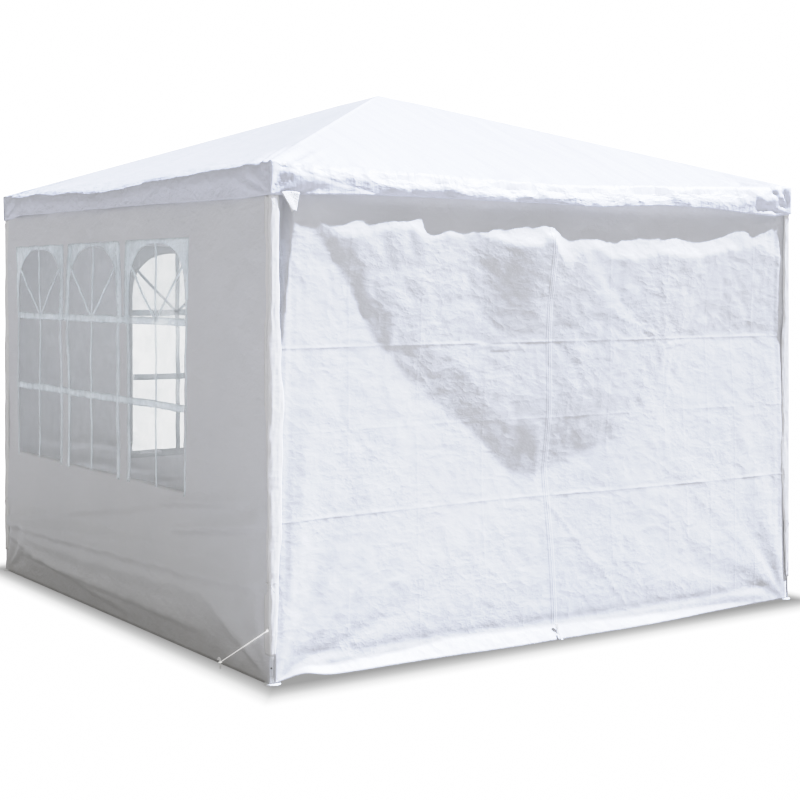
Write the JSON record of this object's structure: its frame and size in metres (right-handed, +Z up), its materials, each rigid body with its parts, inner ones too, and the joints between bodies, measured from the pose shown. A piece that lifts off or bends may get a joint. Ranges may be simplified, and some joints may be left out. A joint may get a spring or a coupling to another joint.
{
  "type": "marquee tent",
  "caption": "Square white marquee tent: pyramid roof cover with a valance, steel tube frame, arched window walls on three sides and a zipped door wall in front.",
  "frame": {"origin": "on the ground under the peak, at the middle of the four legs", "axes": "+Z up, -Y out through the zipped door wall, +X to the right as seen from in front of the door"},
  "size_m": [3.067, 3.067, 2.578],
  "materials": {
    "white_steel": "white powder coat on steel tube",
    "white_plastic": "moulded white plastic",
    "white_fabric": "thin woven polyethylene sheet, slightly shiny",
    "clear_film": "clear flexible window film",
    "zip_tape": "woven zip tape",
    "zip_metal": "pale metal slider",
    "rope_cord": "thin braided white cord",
    "peg_steel": "zinc plated wire"
  },
  "bodies": {
    "root": {"foot_plate_front_left": "white_plastic", "foot_plate_front_right": "white_plastic", "foot_plate_back_left": "white_plastic", "foot_plate_back_right": "white_plastic", "leg_lower_front_left": "white_steel", "leg_lower_front_right": "white_steel", "leg_lower_back_left": "white_steel", "leg_lower_back_right": "white_steel", "leg_upper_front_left": "white_steel", "leg_upper_front_right": "white_steel", "leg_upper_back_left": "white_steel", "leg_upper_back_right": "white_steel", "corner_fitting_front_left": "white_steel", "corner_fitting_front_right": "white_steel", "corner_fitting_back_left": "white_steel", "corner_fitting_back_right": "white_steel", "eave_beam_front": "white_steel", "eave_beam_right": "white_steel", "eave_beam_back": "white_steel", "eave_beam_left": "white_steel", "hip_rafter_front_left": "white_steel", "hip_rafter_front_right": "white_steel", "hip_rafter_back_left": "white_steel", "hip_rafter_back_right": "white_steel", "peak_fitting": "white_steel", "roof_cover": "white_fabric", "front_wall_left": "white_fabric", "front_wall_right": "white_fabric", "door_zip": "zip_tape", "zip_slider": "zip_metal", "left_wall": "white_fabric", "back_wall": "white_fabric", "right_wall": "white_fabric", "left_window_film": "clear_film", "back_window_film": "clear_film", "right_window_film": "clear_film", "guy_rope_front_left": "rope_cord", "guy_rope_front_right": "rope_cord", "guy_rope_back_left": "rope_cord", "guy_rope_back_right": "rope_cord", "ground_peg_front_left": "peg_steel", "ground_peg_front_right": "peg_steel", "ground_peg_back_left": "peg_steel", "ground_peg_back_right": "peg_steel"}
  },
  "joints": []
}
